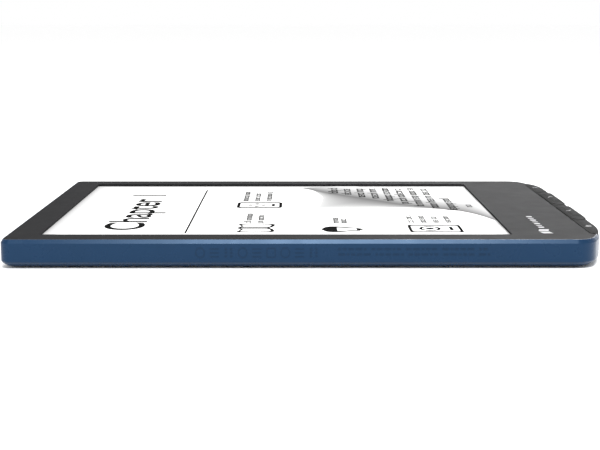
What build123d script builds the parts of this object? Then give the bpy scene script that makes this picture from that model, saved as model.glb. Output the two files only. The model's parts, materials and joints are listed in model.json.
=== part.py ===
from build123d import *

import math
import os

# A six-inch e-reader lying on its back, modelled as the pieces it would come apart into.
# Millimetres.  +Z is up and out of the screen, +Y runs to the top of a held page, and the
# origin is the centre of the face it rests on.  The page keys are at the -Y end.

# ---------------------------------------------------------------- driving dimensions
# Body
body_length = 156.0
body_width = 108.0
body_thickness = 7.6  # rest face to front face; the keys stand above this
top_corner_r = 2.4
end_arc_r = 40.0  # large arc of each key-end corner
side_arc_r = 6.0  # small arc of each key-end corner
end_arc_turn = 25.0  # degrees that the large arc turns before the small one takes over
corner_r_min = 0.6
cut_over = 1.0  # how far a cutting shape runs past what it cuts
touch = 0.01  # distances below this count as none

# Rear cover
cover_wall = 1.5
cover_floor = 1.2
edge_curve_w = 3.5  # how far the rounded lower edge comes in
edge_curve_h = 2.05  # how far it comes up
edge_curve_power = 1.45  # 1 would be a flat chamfer, 2 an ellipse
edge_curve_steps = 9
rim_width = 0.6
rim_height = 0.95
rim_land = 0.15
rib_height = 0.3
rib_width = 0.8
rib_gap = 1.5  # battery to the rib round it
rib_corner_r = 3.0
rib_pitch = 15.0
rib_end_gap = 4.0
rib_root = 0.1  # how far ribs reach into the floor

# Front frame
frame_gap = 0.1  # all round, between frame and cover
flange_t = 1.2
seal_t = 0.25
skirt_wall = 1.2
skirt_depth = 2.7  # front face to the skirt's free edge
window_length = 122.8
window_width = 92.2
top_bezel = 8.7
window_corner_r = 0.5
screen_recess = 0.7
hook_length = 6.0
hook_reach = 0.35
hook_clearance = 0.1
hook_height = 0.6

# Display stack, from the front down
gasket_t = 0.1
gasket_w = 1.9
gasket_setback = 0.4  # window's edge to the gasket
film_t = 0.15
light_guide_t = 0.45
paper_t = 0.2
backplane_t = 0.7
tape_t = 0.05
active_length = 122.36
active_width = 90.58
module_length = 138.4
module_width = 101.8
module_top_border = 3.0
module_gap = 0.3
guide_margin = 2.4
film_margin = 2.8
paper_margin = 1.6
film_corner_r = 0.8
sheet_corner_r = 0.3
led_count = 9
led_size = (2.6, 1.0, 0.4)
led_side_gap = 7.0  # the image's side to the last light
led_gap = 0.1
light_strip_side_gap = 2.0
light_strip_w = 2.2
light_strip_t = 0.12
driver_size = (22.0, 1.6, 0.4)
driver_inset = 3.6
display_tape_w = 8.0
display_tape_inset = 4.0
display_tape_side_gap = 8.9

# Flat cables and their connectors: each cable's x and width
cable_t = 0.15
cable_turn_gap = 0.35
connector_depth = 3.0
connector_h = 0.9
connector_reach = 5.2  # from where the cables turn to the connectors' line
cable_grip = 0.8
display_cable_x, display_cable_w = 0.0, 20.0
touch_cable_x, touch_cable_w = 24.0, 8.0
light_cable_x, light_cable_w = -24.0, 5.0

# Chassis plate and screws
chassis_t = 0.6
chassis_gap = 0.3
chassis_end_gap = 0.2
chassis_reach = 0.8  # display module's lower end to the chassis plate's
chassis_hole_w = 16.0
chassis_hole_r = 3.0
screw_r = 0.6
screw_head_r = 1.25
screw_head_h = 0.4
screw_thread_gap = 0.01
screw_tip_gap = 0.1
screw_head_round = 0.4  # share of the head's height that is rounded
screw_socket_share = 0.4  # the hexagon socket, as a share of the head's radius
screw_socket_depth = 0.6  # and of the head's height
screw_hole_r = 0.75
boss_r = 1.5
top_screw_side_gap = 14.0  # body side to the outer screws
top_screw_inset = 1.25
tab_screw_reach = 1.9  # chassis plate's lower end to its tabs' screws
carrier_screw_inset = 2.3  # seam to the key carrier's screws
tab_screw_x = (-33.5, -14.5, 14.5, 33.5)
carrier_screw_end_gap = 2.85  # key strip's end to the outer screws
carrier_screw_split_gap = 2.0  # key split to the inner screws
tab_width = 6.0

# Keys
key_depth = 4.1  # body end to the seam
key_gap = 0.15
key_split_gap = 0.12
key_strip_side_gap = 8.15  # body side to the strip's end
key_split_x = 26.0
key_corner_r = 1.5
key_seam_rise = 0.05  # the keys above the front face at the seam
key_rise = 0.4  # and at their crest
bump_rise = 0.85  # and on the page keys' bumps
key_crest_inset = 1.6  # body end to the crest
key_arc_r = 30.5  # tighter than the body's own arc, so the rim passes outside the strip's ends
key_arc_turn = 40.0
bump_plateau = 10.3
bump_slope = 5.2
key_edge_r = 0.9
key_inner_edge_r = 0.15
key_travel = 0.35
key_stop_gap = 0.05
key_shell = 0.8
key_tongue = 0.85
key_tongue_root = 0.4
key_tongue_end_gap = 2.5
key_roof_gap = 0.1  # frame's flange down to the inside of the keys' roof
post_r = 0.7
post_inset = 2.8  # body end to the posts' line
carrier_t = 0.6
switch_size = (3.0, 2.2, 0.55)
plunger_r = 0.6
plunger_length = 0.5
plunger_proud = 0.4
key_seal_t = 0.2

# Main board
board_t = 0.8
board_reach = 24.1  # flat-cable connectors' line to the board's upper edge
board_side_gap = 5.0
board_wall_gap = 0.15
board_notch_gap = 0.3
antenna_size = (2.4, 9.0, 1.2)
antenna_side_gap = 3.7
port_drop = 0.1  # board's underside down to the centre line of the socket, button and light
standoff_h = 0.95
standoff_r = 1.7
board_screw_side_gap = 2.7
board_screw_inset = 3.2

# Charging socket
usb_width = 8.94
usb_height = 3.16
usb_length = 7.3
usb_wall = 0.3
usb_inset = 0.3
usb_leg_w = 1.2
usb_leg_inset = 2.0
usb_leg_root = 0.1
usb_leg_reach = 0.35
usb_hole_gap = 0.1
tongue_size = (6.7, 4.6, 0.7)
usb_root_depth = 1.2
usb_root_gap = 0.05
usb_seal_w = 0.25
usb_seal_depth = 0.5
seal_fit = 0.02

# Power button and status light
power_x = 24.0
power_width = 8.0
power_height = 2.0
power_gap = 0.12
power_inset = 0.1
power_travel = 0.35
power_flange = 0.6
power_flange_t = 0.4
power_edge_r = 0.3
power_stem_gap = 0.45
power_plunger_in = 0.35
power_switch_size = (4.4, 2.2, 1.4)
light_x = 31.0
light_r = 0.6
light_gap = 0.05

# Battery
battery_size = (80.0, 62.0, 3.0)
battery_board_gap = 8.4
battery_tape_t = 0.15
foam_w = 4.0
foam_side_gap = 8.5
foam_gap = 0.02
foam_corner_r = 0.6
lead_r = 0.45
lead_pitch = 1.4

# ---------------------------------------------------------------- levels and lines
face_z = body_thickness
film_top = face_z - screen_recess
lip_bottom = film_top + gasket_t
guide_top = film_top - film_t
paper_top = guide_top - light_guide_t
backplane_top = paper_top - paper_t
backplane_bottom = backplane_top - backplane_t
chassis_top = backplane_bottom - tape_t
chassis_bottom = chassis_top - chassis_t
flange_bottom = face_z - flange_t
rebate_bottom = flange_bottom - seal_t
skirt_bottom = face_z - skirt_depth
board_top = chassis_bottom - standoff_h
board_bottom = board_top - board_t

usb_z = board_bottom - port_drop
power_z = board_bottom - port_drop
light_z = board_bottom - port_drop

key_strip_half = body_width / 2 - key_strip_side_gap
board_half_width = body_width / 2 - board_side_gap
board_screw_x = board_half_width - board_screw_side_gap
top_screw_end_x = body_width / 2 - top_screw_side_gap
top_screw_x = (-top_screw_end_x, 0.0, top_screw_end_x)
carrier_screw_end_x = key_strip_half - carrier_screw_end_gap
carrier_screw_split_x = key_split_x - carrier_screw_split_gap
carrier_screw_x = (-carrier_screw_end_x, -carrier_screw_split_x, carrier_screw_split_x, carrier_screw_end_x)

end_y = -body_length / 2
seam_y = end_y + key_depth
window_y = body_length / 2 - top_bezel - window_length / 2
module_y_high = window_y + active_length / 2 + module_top_border
module_y_low = module_y_high - module_length
pocket_y_high = module_y_high + module_gap
pocket_y_low = module_y_low - module_gap
frame_inset = rim_width + rim_land + frame_gap
skirt_inset = cover_wall + frame_gap
skirt_inner_inset = skirt_inset + skirt_wall
chassis_y_high = body_length / 2 - skirt_inner_inset - chassis_end_gap
chassis_y_low = module_y_low - chassis_reach
top_screw_y = body_length / 2 - skirt_inner_inset - top_screw_inset
tab_screw_y = chassis_y_low - tab_screw_reach
carrier_screw_y = seam_y + carrier_screw_inset

carrier_top = chassis_bottom + carrier_t
cap_bottom = carrier_top + key_travel + key_stop_gap
post_y = end_y + post_inset
plunger_top = board_top + switch_size[2] + plunger_proud
cable_turn_y = chassis_y_low - cable_turn_gap
cable_low_z = board_top + connector_h / 2
connector_y = cable_turn_y + connector_reach
cable_end_y = connector_y - connector_depth / 2 + cable_grip
board_y_high = connector_y + board_reach
battery_y = board_y_high + battery_board_gap + battery_size[1] / 2
battery_top = chassis_bottom - battery_tape_t


# ---------------------------------------------------------------- shared shapes
def end_arc_x():
    """Where the body's flat end gives way to its corners."""
    turn = math.sin(math.radians(end_arc_turn))
    return body_width / 2 - end_arc_r * turn - side_arc_r * (1 - turn)


def outline(inset=0.0):
    """The body's plan outline, moved in by inset, as a face at z = 0."""
    half_w = body_width / 2 - inset
    low, high = end_y + inset, body_length / 2 - inset
    big, small = end_arc_r - inset, side_arc_r - inset
    top_r = max(top_corner_r - inset, corner_r_min)
    x_end = end_arc_x()
    small_turn = 90 - end_arc_turn
    base = Line((-x_end, low), (x_end, low))
    big_right = JernArc(base @ 1, (1, 0), big, end_arc_turn)
    small_right = JernArc(big_right @ 1, big_right % 1, small, small_turn)
    right = Line(small_right @ 1, (half_w, high - top_r))
    top_right = JernArc(right @ 1, (0, 1), top_r, 90)
    top = Line(top_right @ 1, (-half_w + top_r, high))
    top_left = JernArc(top @ 1, (-1, 0), top_r, 90)
    left_low = (-(small_right @ 1).X, (small_right @ 1).Y)
    left = Line(top_left @ 1, left_low)
    small_left = JernArc(left @ 1, (0, -1), small, small_turn)
    big_left = JernArc(small_left @ 1, small_left % 1, big, end_arc_turn)
    edges = [base, big_right, small_right, right, top_right, top, top_left, left, small_left, big_left]
    return make_face(edges)


def slab(face, z_low, z_high):
    """A flat face raised from z_low to z_high."""
    return extrude(Pos(0, 0, z_low) * face, z_high - z_low)


def block(x, y, z):
    """A box between pairs of coordinates."""
    size = (x[1] - x[0], y[1] - y[0], z[1] - z[0])
    return Pos((x[0] + x[1]) / 2, (y[0] + y[1]) / 2, (z[0] + z[1]) / 2) * Box(*size)


def plate(x, y, z, corner_r):
    """A box with rounded upright edges."""
    face = RectangleRounded(x[1] - x[0], y[1] - y[0], corner_r)
    return slab(Pos((x[0] + x[1]) / 2, (y[0] + y[1]) / 2) * face, *z)


def through(z):
    """A height range for cutting right through z."""
    return (z[0] - cut_over, z[1] + cut_over)


def peg(x, y, z, radius):
    """An upright cylinder at (x, y) between two heights."""
    return Pos(x, y, (z[0] + z[1]) / 2) * Cylinder(radius, z[1] - z[0])


def around(centre, size):
    """The pair of coordinates of something of that size about a centre."""
    return (centre - size / 2, centre + size / 2)


def group(shapes):
    """Separate solids kept together as one node."""
    return Compound(children=[solid for shape in shapes for solid in shape.solids()])


def end_pill(x, z, width, height, y):
    """A slot shape with round ends, facing the key end, between two y values."""
    face = Pos(x, y[1], z) * Rot(90, 0, 0) * SlotOverall(width, height)
    return extrude(face, y[1] - y[0])


def screw(x, y, head_z, length):
    """A pan-head screw whose head bears at head_z and whose shank runs up from there."""
    head = peg(x, y, (head_z - screw_head_h, head_z), screw_head_r)
    head = fillet(head.edges().group_by(Axis.Z)[0], screw_head_h * screw_head_round)
    socket = Pos(x, y, head_z - screw_head_h) * RegularPolygon(screw_head_r * screw_socket_share, 6)
    shank = peg(x, y, (head_z, head_z + length), screw_r - screw_thread_gap)
    return head + shank - extrude(socket, screw_head_h * screw_socket_depth)


def screws(places, head_z, tip_z):
    """A screw at each place, ending just short of tip_z."""
    length = tip_z - head_z - screw_tip_gap
    return group(screw(x, y, head_z, length) for x, y in places)


# ---------------------------------------------------------------- housing
def cover_outside():
    """The rear cover's outer shape, solid: a rounded lower edge, an upright wall, a bevelled rim."""
    sections = []
    for step in range(edge_curve_steps + 1):
        angle = math.radians(90 * (1 - step / edge_curve_steps))
        power = 2 / edge_curve_power
        inward = edge_curve_w * (1 - math.cos(angle) ** power) if step else edge_curve_w
        up = edge_curve_h * (1 - math.sin(angle) ** power)
        sections.append(Pos(0, 0, up) * outline(inward))
    rim_z = face_z - rim_height
    lower = loft(sections, ruled=True)
    wall = slab(outline(), edge_curve_h, rim_z)
    rim = loft([Pos(0, 0, rim_z) * outline(), Pos(0, 0, face_z) * outline(rim_width)], ruled=True)
    return lower + wall + rim


def hook_places():
    """Each snap hook's centre on the skirt's outer face, and the way it points."""
    side = body_width / 2 - skirt_inset
    high = body_length / 2 - skirt_inset
    places = [(sign * side, y, sign, 0) for sign in (-1, 1) for y in (-50.0, -15.0, 20.0, 55.0)]
    places += [(x, high, 0, 1) for x in (-24.0, 24.0)]
    return places


def hook_box(place, length, reach, height):
    """A box of the given size standing out from a hook place."""
    x, y, way_x, way_y = place
    z = around((skirt_bottom + flange_bottom) / 2, height)
    if way_x:
        return block(sorted((x, x + way_x * reach)), around(y, length), z)
    return block(around(x, length), sorted((y, y + way_y * reach)), z)


def strip_room(grow=0.0):
    """The region inside the key strip's outer edge, moved out by grow."""
    radius, low = key_arc_r + grow, end_y - grow
    base = Line((-end_arc_x(), low), (end_arc_x(), low))
    right = JernArc(base @ 1, (1, 0), radius, key_arc_turn)
    left = JernArc(base @ 0, (-1, 0), radius, -key_arc_turn)
    x, far = (right @ 1).X, end_y + key_arc_r
    return make_face([base, right, left, Polyline(right @ 1, (x, far), (-x, far), left @ 1)])


def key_slot(y_high, z, grow=0.0):
    """The space at the body's end that the key strip takes, out past the end between the corners."""
    half = key_strip_half + grow
    low = end_y - 1.0
    face = Pos(0, (low + y_high) / 2) * Rectangle(2 * half, y_high - low)
    corners = face.vertices().group_by(Axis.Y)[-1]
    return slab(fillet(corners, key_corner_r + key_gap) & strip_room(key_gap), *z)


def rear_cover():
    cover = cover_outside()
    cover -= slab(outline(cover_wall), cover_floor, face_z + 1)
    cover -= slab(outline(rim_width + rim_land), rebate_bottom, face_z + 1)
    cover -= key_slot(seam_y + key_depth, (carrier_top, face_z + 1))
    slot_length, slot_height = hook_length + 2 * hook_clearance, hook_height + 2 * hook_clearance
    for place in hook_places():
        cover -= hook_box(place, slot_length, frame_gap + hook_reach + hook_clearance, slot_height)
    wall_y = (end_y - 1, end_y + cover_wall + 1)
    cover -= usb_bore(-2 * usb_hole_gap, wall_y)
    seat_y = (usb_seal_y()[0] - seal_fit, wall_y[1])
    cover -= usb_bore(-2 * usb_seal_w, seat_y)
    cover -= power_pill(power_gap, wall_y)
    cover -= Pos(light_x, end_y, light_z) * Rot(90, 0, 0) * Cylinder(light_r + light_gap, 4 * cover_wall)
    return cover + cover_ribs()


def cover_ribs():
    """Low ribs moulded on the cover's floor, framing the battery and crossing the free ends."""
    z = (cover_floor - rib_root, cover_floor + rib_height)
    half_x, half_y = battery_size[0] / 2 + rib_gap, battery_size[1] / 2 + rib_gap
    inner_x, inner_y = half_x - rib_width, half_y - rib_width
    ribs = plate((-half_x, half_x), around(battery_y, 2 * half_y), z, rib_corner_r)
    ribs -= plate((-inner_x, inner_x), around(battery_y, 2 * inner_y), through(z), rib_corner_r - rib_width)
    cross_y = (battery_y + half_y - rib_width / 2, body_length / 2 - cover_wall - rib_end_gap)
    for i in range(-2, 3):
        ribs += block(around(rib_pitch * i, rib_width), cross_y, z)
    return ribs


def front_frame():
    frame = slab(outline(frame_inset), flange_bottom, face_z)
    skirt = slab(outline(skirt_inset), skirt_bottom, flange_bottom)
    frame += skirt - slab(outline(skirt_inner_inset), skirt_bottom - 1, flange_bottom + 1)
    for place in hook_places():
        frame += hook_wedge(place)
    for x, y in chassis_screw_places() + carrier_screw_places():
        frame += peg(x, y, (chassis_top, flange_bottom), boss_r)
    pocket_y = (pocket_y_low, pocket_y_high)
    frame -= block(around(0, module_width + 2 * module_gap), pocket_y, (skirt_bottom - 1, lip_bottom))
    frame -= window((lip_bottom - 1, face_z + 1))
    frame -= key_slot(seam_y, (skirt_bottom - 1, face_z + 1))
    frame -= key_slot(seam_y + key_tongue, (skirt_bottom - 1, flange_bottom + key_stop_gap))
    for x, y in chassis_screw_places() + carrier_screw_places():
        frame -= peg(x, y, (chassis_top - 1, lip_bottom), screw_r)
    return frame


def window(z, grow=0.0):
    """The opening over the screen, between two heights."""
    width, length = window_width + 2 * grow, window_length + 2 * grow
    return plate(around(0, width), around(window_y, length), z, window_corner_r + grow)


def hook_wedge(place):
    """A snap hook: a ramp that springs into the cover's pocket."""
    hook = hook_box(place, hook_length, hook_reach, hook_height)
    x, y, way_x, way_y = place
    far = Axis.X if way_x else Axis.Y
    side = hook.faces().sort_by(far)[-1 if way_x + way_y > 0 else 0]
    return chamfer(side.edges().group_by(Axis.Z)[0], hook_reach * 0.8)


def perimeter_seal():
    """The seal bead under the frame's flange, open where the keys are."""
    ring = slab(outline(rim_width + rim_land + 0.1), rebate_bottom, flange_bottom)
    ring -= slab(outline(cover_wall - 0.05), rebate_bottom - 1, flange_bottom + 1)
    return ring - key_slot(seam_y + key_depth, (rebate_bottom - 1, flange_bottom + 1), grow=1.0)


# ---------------------------------------------------------------- display stack
def display_gasket():
    z = (film_top, lip_bottom)
    return window(z, gasket_w) - window(through(z), gasket_setback)


def active_plate(margin, z, corner_r):
    """A sheet as large as the active area plus a margin all round."""
    width, length = active_width + 2 * margin, active_length + 2 * margin
    return plate(around(0, width), around(window_y, length), z, corner_r)


def touch_film():
    return active_plate(film_margin, (guide_top, film_top), film_corner_r)


def light_guide():
    return active_plate(guide_margin, (paper_top, guide_top), sheet_corner_r)


def epaper_film():
    return active_plate(paper_margin, (backplane_top, paper_top), sheet_corner_r)


def display_backplane():
    return block(around(0, module_width), (module_y_low, module_y_high), (backplane_bottom, backplane_top))


def led_line_y():
    """The y of the lamps' lit faces, just off the light guide's lower edge."""
    return window_y - active_length / 2 - guide_margin - led_gap


def front_light_strip():
    width, depth, height = active_width - 2 * light_strip_side_gap, light_strip_w, light_strip_t
    z = (backplane_top, backplane_top + height)
    return block(around(0, width), (led_line_y() - depth, led_line_y()), z)


def front_light_leds():
    width, depth, height = led_size
    bottom = backplane_top + light_strip_t
    pitch = (active_width - 2 * led_side_gap) / (led_count - 1)
    leds = []
    for i in range(led_count):
        x = (i - (led_count - 1) / 2) * pitch
        leds.append(block(around(x, width), (led_line_y() - depth, led_line_y()), (bottom, bottom + height)))
    return group(leds)


def display_driver():
    width, depth, height = driver_size
    y = around(module_y_low + driver_inset, depth)
    return block(around(0, width), y, (backplane_top, backplane_top + height))


def display_tape():
    """Thin double-sided tape holding the display to the chassis plate."""
    z = (chassis_top, backplane_bottom)
    y = (module_y_low + display_tape_inset, module_y_high - display_tape_inset)
    outer_x = module_width / 2 - display_tape_side_gap
    return group(block(around(x, display_tape_w), y, z) for x in (-outer_x, 0.0, outer_x))


def flat_cable(x, width):
    """A flat cable that leaves the display, turns round the chassis edge and comes back below it."""
    z_high = (backplane_bottom + backplane_top) / 2
    turn_r = (z_high - cable_low_z) / 2
    half_t = cable_t / 2
    upper = block(around(x, width), (cable_turn_y, module_y_low), around(z_high, cable_t))
    lower = block(around(x, width), (cable_turn_y, cable_end_y), around(cable_low_z, cable_t))
    centre = Pos(x, cable_turn_y, cable_low_z + turn_r) * Rot(0, 90, 0)
    bend = centre * (Cylinder(turn_r + half_t, width) - Cylinder(turn_r - half_t, width + 1))
    bend &= block(around(x, width + 2), (cable_turn_y - 2 * turn_r, cable_turn_y), (0, body_thickness))
    return upper + bend + lower


def flat_connector(x, width):
    """A flip-lock connector on the board's upper side."""
    y = around(connector_y, connector_depth)
    base = block(around(x, width + 3.0), y, (board_top, board_top + connector_h))
    base -= block(around(x, width + 0.6), (y[0] - 1, cable_end_y + 0.1), around(cable_low_z, 2 * cable_t))
    return chamfer(base.edges().filter_by(Axis.X).group_by(Axis.Z)[-1].sort_by(Axis.Y)[-1], 0.25)


# ---------------------------------------------------------------- chassis and screws
def chassis_screw_places():
    places = [(x, top_screw_y) for x in top_screw_x]
    return places + [(x, tab_screw_y) for x in tab_screw_x]


def carrier_screw_places():
    return [(x, carrier_screw_y) for x in carrier_screw_x]


def board_screw_places():
    low = chassis_y_low + board_screw_inset
    high = board_y_high - board_screw_inset
    return [(sign * board_screw_x, y) for sign in (-1, 1) for y in (low, high)]


def chassis_plate():
    half_w = body_width / 2 - skirt_inner_inset - chassis_gap
    z = (chassis_bottom, chassis_top)
    chassis = plate((-half_w, half_w), (chassis_y_low, chassis_y_high), z, 1.0)
    for x, y in chassis_screw_places()[len(top_screw_x):]:
        chassis += plate(around(x, tab_width), (y - 1.7, chassis_y_low + 2), z, 0.8)
    hole_y = (battery_y + battery_size[1] / 2 + 6, top_screw_y - 8)
    for x in (-34.0, -11.5, 11.5, 34.0):
        chassis -= plate(around(x, chassis_hole_w), hole_y, through(z), chassis_hole_r)
    for x, y in board_screw_places():
        chassis += peg(x, y, (board_top, chassis_bottom), standoff_r)
        chassis -= peg(x, y, (board_top - 1, chassis_top + 1), screw_r)
    for x, y in chassis_screw_places():
        chassis -= peg(x, y, through(z), screw_hole_r)
    return chassis


def chassis_screws():
    return screws(chassis_screw_places(), chassis_bottom, lip_bottom)


def carrier_screws():
    return screws(carrier_screw_places(), chassis_bottom, lip_bottom)


def mainboard_screws():
    return screws(board_screw_places(), board_bottom, chassis_top)


# ---------------------------------------------------------------- main board
def mainboard():
    z = (board_bottom, board_top)
    room = block((-board_half_width, board_half_width), (end_y, board_y_high), z)
    board = slab(outline(cover_wall + board_wall_gap), *z) & room
    notches = (
        (0, usb_width, usb_y()[1]),
        (power_x, power_width + 2 * power_flange, power_flange_y()[1] + power_travel),
        (light_x, 2 * light_r, light_pipe_y()[1] - board_notch_gap / 2),
    )
    for x, width, y_high in notches:
        board -= block(around(x, width + 2 * board_notch_gap), (end_y, y_high + board_notch_gap), through(z))
    for x, y in board_screw_places():
        board -= peg(x, y, through(z), screw_hole_r)
    return board


def chip(x, y, size):
    """A package on the board's lower side."""
    width, depth, height = size
    body = block(around(x, width), around(y, depth), (board_bottom - height, board_bottom))
    return chamfer(body.edges().group_by(Axis.Z)[0], 0.12)


chip_line_y = board_y_high - 16.0


def processor():
    return chip(-12.0, chip_line_y, (13.0, 13.0, 1.1))


def ram_chip():
    return chip(2.5, chip_line_y, (9.0, 12.0, 0.9))


def storage_chip():
    return chip(16.0, chip_line_y, (11.5, 13.0, 0.9))


def power_chip():
    return chip(-27.0, chip_line_y + 1, (8.0, 8.0, 0.8))


def display_power_chip():
    return chip(-38.0, chip_line_y + 2, (6.0, 6.0, 0.8))


def wireless_module():
    """A small radio board under a folded shield."""
    x, y, height = 35.0, chip_line_y, 1.4
    can = block(around(x, 12.0), around(y, 15.0), (board_bottom - height, board_bottom))
    can = fillet(can.edges().filter_by(Axis.Z), 0.8)
    return chamfer(can.edges().group_by(Axis.Z)[0], 0.2)


def antenna():
    width, depth, height = antenna_size
    x, y = around(board_half_width - antenna_side_gap, width), around(chip_line_y - 2, depth)
    return block(x, y, (board_bottom - height, board_bottom))


def small_components():
    """Capacitors, coils and crystals on the board's lower side."""
    pieces = []
    for i in range(9):
        pieces.append(chip_box(-18.0 + 5.2 * i, chip_line_y - 8.6, (1.0, 0.5, 0.4)))
        pieces.append(chip_box(-18.0 + 5.2 * i, chip_line_y - 9.9, (1.6, 0.8, 0.5)))
    for i in range(3):
        pieces.append(chip_box(-41.0 + 5.0 * i, chip_line_y - 5.5, (3.0, 3.0, 1.2)))
    pieces.append(chip_box(24.9, chip_line_y + 4.0, (3.2, 2.5, 0.7)))
    pieces.append(chip_box(25.1, chip_line_y - 3.0, (2.0, 1.6, 0.6)))
    return group(pieces)


def chip_box(x, y, size):
    width, depth, height = size
    return block(around(x, width), around(y, depth), (board_bottom - height, board_bottom))


def hall_sensor():
    """The lid sensor, on the board's upper side."""
    return block(around(41.0, 2.9), around(board_y_high - 4.0, 1.6), (board_top, board_top + 0.7))


# ---------------------------------------------------------------- battery
def battery_cell():
    width, depth, height = battery_size
    z = (battery_top - height, battery_top)
    cell = plate(around(0, width), around(battery_y, depth), z, 1.6)
    return fillet(cell.edges().group_by(Axis.Z)[0] + cell.edges().group_by(Axis.Z)[-1], 0.7)


battery_low_y = battery_y - battery_size[1] / 2
circuit_depth = 3.6
circuit_width = 34.0
circuit_gap = 0.1


def battery_circuit():
    """The cell's protection board, lying against its lower end."""
    y_high = battery_low_y - circuit_gap
    board = block(around(0, circuit_width), (y_high - circuit_depth, y_high), around(battery_top - 1.3, 0.6))
    chip_y, chip_z = around(y_high - circuit_depth / 2, 2.2), (battery_top - 1.0, battery_top - 0.3)
    for x in (-11.0, -6.0):
        board += block(around(x, 3.0), chip_y, chip_z)
    return board


plug_y = board_y_high - 1.2
lead_z_high = battery_top - 1.6 - lead_r
lead_z_low = board_bottom - 0.85


def battery_leads():
    """Three short insulated wires from the protection board to the plug."""
    leads = []
    start = battery_low_y - circuit_gap - circuit_depth + 1.2
    high = ((start, lead_z_high), (start - 1.7, lead_z_high))
    low = ((plug_y + 2.2, lead_z_low), (plug_y, lead_z_low))
    for i in (-1, 0, 1):
        points = [(i * lead_pitch, y, z) for y, z in high + low]
        path = FilletPolyline(*points, radius=1.2)
        leads.append(sweep(Plane(origin=path @ 0, z_dir=path % 0) * Circle(lead_r), path))
    return group(leads)


def battery_plug():
    body = block(around(0, 3 * lead_pitch + 1.2), (plug_y - 3.0, plug_y), around(lead_z_low, 1.3))
    return fillet(body.edges().filter_by(Axis.Y), 0.2)


def battery_socket():
    """The board's battery header, open towards the plug."""
    y = (plug_y - 4.2, plug_y - 0.8)
    body = block(around(0, 3 * lead_pitch + 2.6), y, (lead_z_low - 0.85, board_bottom))
    mouth = block(around(0, 3 * lead_pitch + 1.4), (plug_y - 3.2, plug_y + 1), around(lead_z_low, 1.4))
    return body - mouth


def battery_tape():
    z = (battery_top, chassis_bottom)
    y = around(battery_y, battery_size[1] - 8)
    return group(block(around(x, 14.0), y, z) for x in (-26.0, 0.0, 26.0))


def foam_supports():
    """Foam strips that keep the cover from flexing towards the chassis plate."""
    y_high = chassis_y_high - 2
    y_low = battery_y + battery_size[1] / 2 + 4
    z = (cover_floor + foam_gap, chassis_bottom - foam_gap)
    outer_x = body_width / 2 - foam_side_gap
    places = (-outer_x, -outer_x / 2, outer_x / 2, outer_x)
    return group(plate(around(x, foam_w), (y_low, y_high - 4), z, foam_corner_r) for x in places)


# ---------------------------------------------------------------- charging socket
def usb_y():
    return (end_y + usb_inset, end_y + usb_inset + usb_length)


def usb_bore(shrink, y):
    """A slot shape smaller than the socket's shell by shrink in width and height."""
    return end_pill(0, usb_z, usb_width - shrink, usb_height - shrink, y)


def usb_shell():
    shell = usb_bore(0, usb_y())
    shell -= usb_bore(2 * usb_wall, (end_y, usb_y()[1] - usb_wall))
    leg_y = around(usb_y()[1] - usb_leg_inset, usb_leg_w)
    for sign in (-1, 1):
        x = sign * (usb_width / 2 - usb_leg_root)
        leg_x = sorted((x, x + sign * usb_leg_reach))
        leg = block(leg_x, leg_y, (board_bottom - usb_wall, usb_z + 0.2))
        shell += leg - usb_bore(usb_wall, through(usb_y()))
    return shell


def usb_tongue():
    width, depth, height = tongue_size
    back = usb_y()[1] - usb_wall
    tongue = block(around(0, width), (back - depth, back), around(usb_z, height))
    root = usb_bore(2 * usb_wall + 2 * usb_root_gap, (back - usb_root_depth, back))
    return root + fillet(tongue.edges().filter_by(Axis.Z).group_by(Axis.Y)[0], 0.8)


def usb_seal_y():
    high = end_y + cover_wall - seal_fit
    return (high - usb_seal_depth, high)


def usb_seal():
    """The rubber ring round the socket's mouth, in its seat in the cover's wall."""
    y = usb_seal_y()
    ring_w = usb_seal_w - seal_fit
    return usb_bore(-2 * ring_w, y) - usb_bore(-2 * seal_fit, through(y))


# ---------------------------------------------------------------- power button, status light
power_stem_z = board_bottom - 0.7
power_switch_y = end_y + 3.3
power_face_y = end_y + power_inset


def power_pill(grow, y):
    """The power button's outline moved out by grow, between two y values."""
    return end_pill(power_x, power_z, power_width + 2 * grow, power_height + 2 * grow, y)


def power_flange_y():
    low = end_y + cover_wall + 0.1
    return (low, low + power_flange_t)


def power_button():
    flange_y = power_flange_y()
    cap = power_pill(0, (power_face_y, flange_y[0]))
    cap = fillet(cap.edges().group_by(Axis.Y)[0], power_edge_r)
    flange = power_pill(power_flange, flange_y)
    stem_y = (flange_y[1] - 0.1, power_switch_y - power_stem_gap)
    stem = block(around(power_x, 2.0), stem_y, around(power_stem_z, 0.9))
    return cap + flange + stem


def power_plunger():
    y = (power_switch_y - power_stem_gap, power_switch_y + power_plunger_in)
    return block(around(power_x, 1.4), y, around(power_stem_z, 0.8))


def power_switch():
    """A side-pressed switch on the board's lower side."""
    width, depth, height = power_switch_size
    y, z = (power_switch_y, power_switch_y + depth), (board_bottom - height, board_bottom)
    body = block(around(power_x, width), y, z)
    slot_y = (power_switch_y - 1, power_switch_y + power_plunger_in + power_travel + 0.1)
    return body - block(around(power_x, 1.5), slot_y, around(power_stem_z, 0.9))


def light_pipe_y():
    return (end_y + 0.05, end_y + cover_wall + 0.9)


def light_pipe():
    y = light_pipe_y()
    return Pos(light_x, sum(y) / 2, light_z) * Rot(90, 0, 0) * Cylinder(light_r, y[1] - y[0])


def status_led():
    y_low = light_pipe_y()[1] + 0.1
    return block(around(light_x, 1.6), (y_low, y_low + 0.8), (board_bottom - 0.8, board_bottom))


# ---------------------------------------------------------------- keys
def key_span(which):
    """The x range of a key: 0 and 3 are the outer keys, 1 and 2 the page keys."""
    edges = (-key_strip_half + key_gap, -key_split_x, 0.0, key_split_x, key_strip_half - key_gap)
    half = key_split_gap / 2
    low = edges[which] + (half if which else 0)
    high = edges[which + 1] - (half if which < 3 else 0)
    return (low, high)


def key_centre(which):
    return sum(key_span(which)) / 2


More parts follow.
